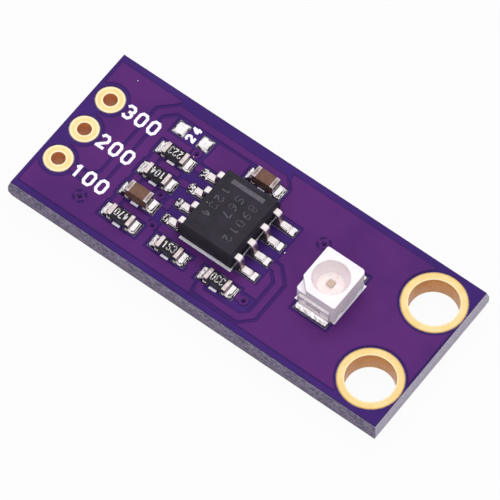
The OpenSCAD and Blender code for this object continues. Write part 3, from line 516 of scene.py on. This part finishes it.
def buildAmpJoints(shape):
    joint = ampJoint
    low, high, middle = boxOf("amp_solder")
    leadsLow, leadsHigh, _ = boxOf("amp_leads")
    tip = (leadsHigh.x - leadsLow.x) / 2
    outer = (high.x - low.x) / 2 + joint["beyond"] * mm
    inner = tip - joint["under"] * mm
    for side in (-1, 1):
        for row in range(joint["rows"]):
            leadY = middle.y + (row - (joint["rows"] - 1) / 2) * joint["pitch"] * mm
            seed = joint["seed"] + row + 5 * side

            def heightAt(x, y, u, v):
                out = side * (x - middle.x) - tip
                across = abs(y - leadY)
                if out < 0 and across < joint["filmHalf"] * mm:
                    return joint["filmUnder"] * mm
                beyond, beside = max(out, 0), max(across - joint["footHalf"] * mm, 0)
                fillet = joint["fillet"] * mm * math.exp(-math.hypot(beyond, beside) / (joint["filletReach"] * mm))
                start = min(max((beyond - joint["barFrom"] * mm) / (joint["barRise"] * mm), 0), 1)
                bar = joint["bar"] * mm * start * (1 - min(beyond / (outer - tip), 1) ** 8)
                rough = joint["rough"] * mm * lumps(x, y, joint["lump"], seed)
                if side < 0:
                    bar *= joint["backBar"]
                    fillet *= joint["backFillet"]
                    past = max(beyond / (joint["crumbRun"] * mm) - joint["crumbFrom"], 0)
                    share = min(past + joint["crumbUnder"] * (out < 0), 1)
                    crumb = abs(lumps(x, y, joint["crumbSize"], seed + joint["crumbSeed"]))
                    rough += joint["crumbs"] * mm * crumb * share
                return (joint["film"] * mm + fillet + bar + rough) * (1 - joint["lessAtSides"] * abs(v) ** 6)

            def widthAt(u):
                ahead = side * u * (outer - inner) / 2 + (outer + inner) / 2 - tip
                full = min(max(ahead / (joint["waistRun"] * mm) + 1, 0), 1)
                return joint["waist"] + (1 - joint["waist"]) * full

            centre = (middle.x + side * (inner + outer) / 2, leadY)
            half = ((outer - inner) / 2, joint["wide"] * mm)
            addMound(shape, centre, half, heightAt, joint["steps"], joint["blunt"], widthAt)


addPiece("amp_joints", meshFrom(buildAmpJoints, "amp_joints"), "solder", ["amp_solder"])

tabJoint = {
    "filmUnder": 0.036, "rim": 0.06, "climb": 0.2, "hollow": 1.6, "curve": 1.2, "lessAtEnds": 0.4,
    "rough": 0.11, "roughRise": 1.4, "streak": 0.13, "streakAlong": (1.2, 0.9), "streakAcross": (-0.25, 0.25),
    "streakMiddle": 0.5, "streakSpan": 0.8, "seed": 31, "steps": (56, 24), "blunt": 0.06,
}


def addTabJoint(name, side):
    joint = tabJoint
    low, high, middle = boxOf(name + "_solder")
    tabLow, tabHigh, _ = boxOf(name + "_terminal")
    face, outer = (tabLow.y, low.y) if side < 0 else (tabHigh.y, high.y)

    def heightAt(x, y, u, v):
        out = side * (y - face)
        if out < 0:
            return joint["filmUnder"] * mm
        t = out / (side * (outer - face))
        slope = joint["climb"] * mm * (1 - rise(joint["hollow"] * t)) ** joint["curve"]
        turnedX, turnedY = (a * x + b * y for a, b in (joint["streakAlong"], joint["streakAcross"]))
        streak = joint["streakSpan"] * lumps(turnedX, turnedY, joint["streak"], joint["seed"] + side)
        rough = joint["rough"] * mm * (joint["streakMiddle"] + streak) * rise(joint["roughRise"] * t)
        return joint["rim"] * mm + slope * (1 - joint["lessAtEnds"] * abs(u) ** 6) + rough

    def build(shape):
        half = ((high.x - low.x) / 2, (high.y - low.y) / 2)
        addMound(shape, middle, half, heightAt, joint["steps"], joint["blunt"])

    addPiece(name + "_joint", meshFrom(build, name + "_joint"), "solder", [name + "_solder"])


addTabJoint("sensor_front", -1)
addTabJoint("sensor_back", 1)
print("amplifier and sensor joints made")


# Cast resin in the sensor's window, a hair inside its walls, with a slightly dished top
windowResin = {
    "floorRadius": 0.82, "clear": 0.012, "lift": 0.01, "dish": 0.05, "turns": 64,
    "floorRings": (0.35, 0.7, 1), "topRings": (0.96, 0.88, 0.72, 0.5, 0.25),
}


def buildWindowResin(shape):
    resin = windowResin
    low, high, middle = boxOf("sensor_window_fill")
    topRadius = (high.x - low.x) / 2 - resin["clear"] * mm
    floorRadius = (resin["floorRadius"] - resin["clear"]) * mm
    floorZ, topZ = low.z + resin["lift"] * mm, high.z - resin["lift"] * mm
    profile = [(floorRadius * share, floorZ) for share in resin["floorRings"]] + [(topRadius, topZ)]
    profile += [(topRadius * share, topZ - resin["dish"] * (1 - share ** 4) * mm) for share in resin["topRings"]]
    angles = [2 * math.pi * k / resin["turns"] for k in range(resin["turns"])]
    rings = []
    for radius, z in profile:
        places = [(middle.x + radius * math.cos(a), middle.y + radius * math.sin(a), z) for a in angles]
        rings.append([shape.verts.new(place) for place in places])
    for lower, upper in zip(rings, rings[1:]):
        joinRings(shape, lower, upper)
    for ring in (rings[0], rings[-1]):
        centre = shape.verts.new((middle.x, middle.y, ring[0].co.z))
        for k in range(resin["turns"]):
            shape.faces.new((centre, ring[k], ring[(k + 1) % resin["turns"]]))


resinMesh = meshFrom(buildWindowResin, "window_resin")
addPiece("window_resin", resinMesh, "clearFill", ["sensor_window_fill"])


# Plain digits, each one line of strokes in a box one unit wide and one unit high
digitLines = {
    0: [(0.3, 0), (0, 0.2), (0, 0.8), (0.3, 1), (0.7, 1), (1, 0.8), (1, 0.2), (0.7, 0), (0.3, 0)],
    1: [(0.15, 0.78), (0.55, 1), (0.55, 0)],
    2: [(0, 0.82), (0.25, 1), (0.75, 1), (1, 0.82), (1, 0.6), (0, 0), (1.05, 0)],
    3: [(0, 0.85), (0.25, 1), (0.75, 1), (1, 0.84), (1, 0.66), (0.7, 0.52),
        (1, 0.36), (1, 0.16), (0.75, 0), (0.25, 0), (0, 0.15)],
    4: [(0.72, 0), (0.72, 1), (0, 0.3), (1.05, 0.3)],
    5: [(1, 1), (0.05, 1), (0.05, 0.56), (0.72, 0.56), (1, 0.4), (1, 0.16), (0.75, 0), (0.25, 0), (0, 0.14)],
    6: [(0.9, 1), (0.35, 0.9), (0, 0.5), (0, 0.18), (0.25, 0),
        (0.75, 0), (1, 0.18), (1, 0.4), (0.75, 0.56), (0.1, 0.5)],
    7: [(0, 1), (1, 1), (0.4, 0)],
    8: [(0.3, 0.53), (0, 0.7), (0, 0.86), (0.3, 1), (0.7, 1), (1, 0.86), (1, 0.7), (0.7, 0.53), (0.3, 0.53),
        (0, 0.36), (0, 0.16), (0.3, 0), (0.7, 0), (1, 0.16), (1, 0.36), (0.7, 0.53)],
    9: [(0.1, 0), (0.65, 0.1), (1, 0.5), (1, 0.82), (0.75, 1),
        (0.25, 1), (0, 0.82), (0, 0.6), (0.25, 0.46), (0.95, 0.52)],
}
barEndSteps = 5


# A thin plate of any outline
def addPlate(shape, outline, low, high):
    upper = [shape.verts.new((x, y, high)) for x, y in outline]
    lower = [shape.verts.new((x, y, low)) for x, y in outline]
    shape.faces.new(upper)
    shape.faces.new(lower[::-1])
    joinRings(shape, lower, upper)


# One stroke: a thin bar with round ends
def addBar(shape, start, end, wide, low, high):
    ahead = (end - start).normalized()
    beside = Vector((-ahead.y, ahead.x))
    outline = []
    for centre, first in ((end, -90), (start, 90)):
        for k in range(barEndSteps + 1):
            angle = math.radians(first + 180 * k / barEndSteps)
            outline.append(centre + wide / 2 * (ahead * math.cos(angle) + beside * math.sin(angle)))
    addPlate(shape, outline, low, high)


def addDigits(shape, digits, middle, turn, level, marks):
    spin = Matrix.Rotation(math.radians(turn), 2)
    high, wide = marks["high"] * mm, marks["wide"] * mm
    for k, digit in enumerate(digits):
        shift = (k - (len(digits) - 1) / 2) * (wide + marks["gap"] * mm)
        line = [Vector(((px - 0.5) * wide + shift, (py - 0.5) * high)) for px, py in digitLines[digit]]
        points = [middle + spin @ point for point in line]
        for start, end in zip(points, points[1:]):
            addBar(shape, start, end, marks["stroke"] * mm, level, level + marks["thick"] * mm)


resistorMarks = {
    "codes": [((2, 2, 3), 180), ((1, 0, 4), 180), ((4, 7, 0), 180), ((1, 5, 3), 0), ((3, 3, 0), 180)],
    "high": 0.48, "wide": 0.2, "stroke": 0.07, "gap": 0.12, "thick": 0.004,
}


def buildResistorMarks(shape):
    for k, (digits, turn) in enumerate(resistorMarks["codes"]):
        _, high, middle = boxOf(f"resistor_{k + 1}_glaze")
        addDigits(shape, digits, middle.xy, turn, high.z, resistorMarks)


resistorMesh = meshFrom(buildResistorMarks, "resistor_marks", False)
addPiece("resistor_marks", resistorMesh, "chipMark")

ampMarks = {
    "rows": [((1, 2, 3, 4), -1.05), ((5, 6, 7), -0.05), ((8, 9, 0, 1, 2), 0.95)],
    "startY": 1.15, "high": 0.52, "wide": 0.32, "stroke": 0.07, "gap": 0.3, "thick": 0.003,
    "bar": ((-2.47, 1.62), (-0.11, 1.93)),
}


def buildAmpMarks(shape):
    marks = ampMarks
    _, high, middle = boxOf("amp_body")
    for digits, x in marks["rows"]:
        length = len(digits) * (marks["wide"] + marks["gap"]) - marks["gap"]
        rowMiddle = middle.xy + Vector((x, marks["startY"] - length / 2)) * mm
        addDigits(shape, digits, rowMiddle, -90, high.z, marks)
    (x0, y0), (x1, y1) = marks["bar"]
    outline = [(x * mm, y * mm) for x, y in ((x0, y0), (x1, y0), (x1, y1), (x0, y1))]
    addPlate(shape, outline, high.z, high.z + marks["thick"] * mm)


addPiece("amp_marks", meshFrom(buildAmpMarks, "amp_marks", False), "faintMark")
print("marks made")


# Stray beads of solder on the board and a speck on the amplifier, each a place and a radius, in millimetres
strays = {
    "onBoard": [
        (-11.70, 4.56, 0.05), (2.43, 0.45, 0.07), (1.32, 0.37, 0.06),
        (1.0, -2.07, 0.07), (-3.59, -2.15, 0.06), (-5.83, 2.39, 0.045),
    ],
    "onAmplifier": [(-2.78, -0.3, 0.035)],
    "lift": 0.5, "uneven": 0.25, "lump": 0.08, "flatten": 0.6,
}


def buildBeads(shape):
    for key, level in (("onBoard", boardZ), ("onAmplifier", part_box("amp_body")[1].z)):
        for x, y, radius in strays[key]:
            place = Matrix.Translation((x * mm, y * mm, level + strays["lift"] * radius * mm))
            made = bmesh.ops.create_icosphere(shape, subdivisions=2, radius=radius * mm, matrix=place)
            for vert in made["verts"]:
                bulge = strays["uneven"] * radius * mm * noise.noise(vert.co / (strays["lump"] * mm))
                vert.co += bulge * Vector((1, 1, strays["flatten"]))


addPiece("solder_beads", meshFrom(buildBeads, "solder_beads"), "solder")
print("beads made")

# Camera where the photograph was taken from, in millimetres and degrees
photoView = {
    "place": (90.968, -124.109, 280.956), "azimuth": 36.1783, "elevation": 61.2903, "roll": 0.9572,
    "lens": 387.436, "sensor": 36, "clip": (10, 5000),
}


def placeCamera():
    data = bpy.data.cameras.new("photoCamera")
    data.lens = photoView["lens"]
    data.sensor_width = photoView["sensor"]
    data.clip_start, data.clip_end = (reach * mm for reach in photoView["clip"])
    camera = bpy.data.objects.new("photoCamera", data)
    bpy.context.scene.collection.objects.link(camera)
    azimuth, elevation, roll = (math.radians(photoView[k]) for k in ("azimuth", "elevation", "roll"))
    right = Vector((math.cos(azimuth), math.sin(azimuth), 0))
    level = Vector((math.sin(azimuth), -math.cos(azimuth), 0))
    back = level * math.cos(elevation) + Vector((0, 0, math.sin(elevation)))
    turnedRight = right * math.cos(roll) + back.cross(right) * math.sin(roll)
    turn = Matrix((turnedRight, back.cross(turnedRight), back)).transposed().to_4x4()
    camera.matrix_world = Matrix.Translation(Vector(photoView["place"]) * mm) @ turn
    bpy.context.scene.camera = camera


placeCamera()

# Floor, world and lamp: floor size in metres, lamp place and size in millimetres
white = (1, 1, 1, 1)
studio = {
    "floorTone": "#c6c3c9", "floorGlow": 0.95, "floorSize": 2.0, "floorDrop": 0.01,
    "skyRim": 0.08, "skyTop": 1.1, "skyFullAt": 0.8, "lampPlace": (-70, 140, 260), "lampSize": 160, "lampPower": 0.25,
}


# 1 for what the camera, a mirror or clear resin sees, so that all three show the white background
def backdropRays(tree):
    rays = addNode(tree, "ShaderNodeLightPath").outputs
    seen = addMath(tree, "MAXIMUM", rays["Is Camera Ray"], rays["Is Transmission Ray"])
    return addMath(tree, "MAXIMUM", seen, rays["Is Glossy Ray"])


def makeFloor():
    material = bpy.data.materials.new("floor")
    material.use_nodes = True
    tree = material.node_tree
    tree.nodes.clear()
    matt = addNode(tree, "ShaderNodeBsdfDiffuse", Color=tint(studio["floorTone"]))
    glow = addNode(tree, "ShaderNodeEmission", Color=white, Strength=1.0)
    amount = addMath(tree, "MULTIPLY", backdropRays(tree), studio["floorGlow"])
    mix = addNode(tree, "ShaderNodeMixShader", i0=amount, i1=matt.outputs[0], i2=glow.outputs[0])
    addNode(tree, "ShaderNodeOutputMaterial", Surface=mix.outputs[0])
    half = studio["floorSize"] / 2
    mesh = bpy.data.meshes.new("floor")
    mesh.from_pydata([(-half, -half, 0), (half, -half, 0), (half, half, 0), (-half, half, 0)], [], [(0, 1, 2, 3)])
    mesh.materials.append(material)
    floor = bpy.data.objects.new("floor", mesh)
    floor.location.z = -studio["floorDrop"] * mm
    bpy.context.scene.collection.objects.link(floor)


def makeWorld():
    world = bpy.data.worlds.new("studio")
    bpy.context.scene.world = world
    world.use_nodes = True
    tree = world.node_tree
    tree.nodes.clear()
    height = addAxis(tree, addNode(tree, "ShaderNodeTexCoord").outputs["Generated"], "Z")
    level = addRamp(tree, height, 0, studio["skyFullAt"], studio["skyRim"], studio["skyTop"])
    soft = addNode(tree, "ShaderNodeBackground", Color=white, Strength=level)
    seen = addNode(tree, "ShaderNodeBackground", Color=white, Strength=1.0)
    mix = addNode(tree, "ShaderNodeMixShader", i0=backdropRays(tree), i1=soft.outputs[0], i2=seen.outputs[0])
    addNode(tree, "ShaderNodeOutputWorld", Surface=mix.outputs[0])


def makeLamp():
    data = bpy.data.lights.new("softbox", "AREA")
    data.shape = "DISK"
    data.size = studio["lampSize"] * mm
    data.energy = studio["lampPower"]
    lamp = bpy.data.objects.new("softbox", data)
    lamp.location = Vector(studio["lampPlace"]) * mm
    lamp.rotation_euler = (-lamp.location).to_track_quat("-Z", "Y").to_euler()
    lamp.visible_glossy = False
    bpy.context.scene.collection.objects.link(lamp)


makeFloor()
makeWorld()
makeLamp()
bpy.context.scene.view_settings.view_transform = "Standard"
print("studio made")
